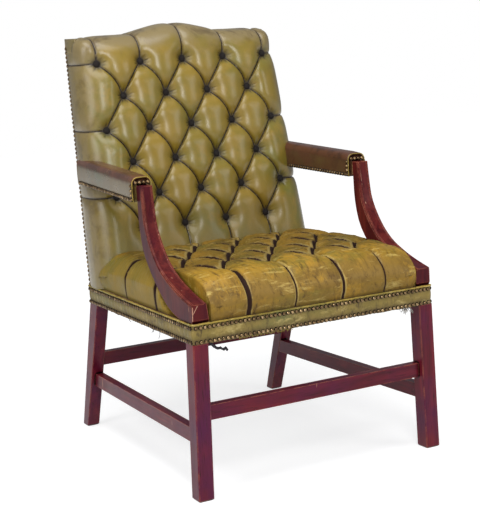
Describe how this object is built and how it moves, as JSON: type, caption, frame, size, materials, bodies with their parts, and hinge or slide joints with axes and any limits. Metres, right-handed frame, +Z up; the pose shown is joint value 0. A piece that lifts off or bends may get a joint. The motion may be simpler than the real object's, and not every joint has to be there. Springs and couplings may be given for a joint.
{
  "type": "armchair",
  "caption": "Worn leather armchair with a deep-buttoned back, a torn buttoned seat, padded arms on downswept supports, and square dark wood legs with box stretchers.",
  "frame": {"origin": "on the floor, under the middle of the chair's bounding box", "axes": "+Z up, the chair faces -Y, +X to the right of someone who looks at its front"},
  "size_m": [0.6544, 0.7482, 1.048],
  "materials": {
    "mahogany": "worn dark stain and polish",
    "beech": "bare sawn timber",
    "leather": "worn olive green hide",
    "seat_leather": "torn and rubbed olive green hide",
    "button_leather": "dark rubbed hide",
    "brass": "dark antique brass nails",
    "jute": "woven jute webbing",
    "lining": "black cotton lining"
  },
  "bodies": {
    "root": {"right_front_leg": "mahogany", "right_rear_leg": "mahogany", "right_seat_rail": "beech", "right_front_corner_block": "beech", "right_rear_corner_block": "beech", "right_stretcher": "mahogany", "right_arm_support": "mahogany", "right_arm_rail": "beech", "right_arm_pad": "leather", "left_front_leg": "mahogany", "left_rear_leg": "mahogany", "left_seat_rail": "beech", "left_front_corner_block": "beech", "left_rear_corner_block": "beech", "left_stretcher": "mahogany", "left_arm_support": "mahogany", "left_arm_rail": "beech", "left_arm_pad": "leather", "front_seat_rail": "beech", "rear_seat_rail": "beech", "front_stretcher": "mahogany", "rear_stretcher": "mahogany", "crest_rail": "beech", "back_stay_rail": "beech", "back_pad": "leather", "outside_back_panel": "leather", "seat_pad": "seat_leather", "rail_band": "leather", "seat_webbing": "jute", "base_cloth": "lining", "back_button_1_1": "button_leather", "back_button_1_2": "button_leather", "back_button_1_3": "button_leather", "back_button_1_4": "button_leather", "back_button_1_5": "button_leather", "back_button_2_1": "button_leather", "back_button_2_2": "button_leather", "back_button_2_3": "button_leather", "back_button_2_4": "button_leather", "back_button_3_1": "button_leather", "back_button_3_2": "button_leather", "back_button_3_3": "button_leather", "back_button_3_4": "button_leather", "back_button_3_5": "button_leather", "back_button_4_1": "button_leather", "back_button_4_2": "button_leather", "back_button_4_3": "button_leather", "back_button_4_4": "button_leather", "back_button_5_1": "button_leather", "back_button_5_2": "button_leather", "back_button_5_3": "button_leather", "back_button_5_4": "button_leather", "back_button_5_5": "button_leather", "back_button_6_1": "button_leather", "back_button_6_2": "button_leather", "back_button_6_3": "button_leather", "back_button_6_4": "button_leather"}
  },
  "joints": []
}
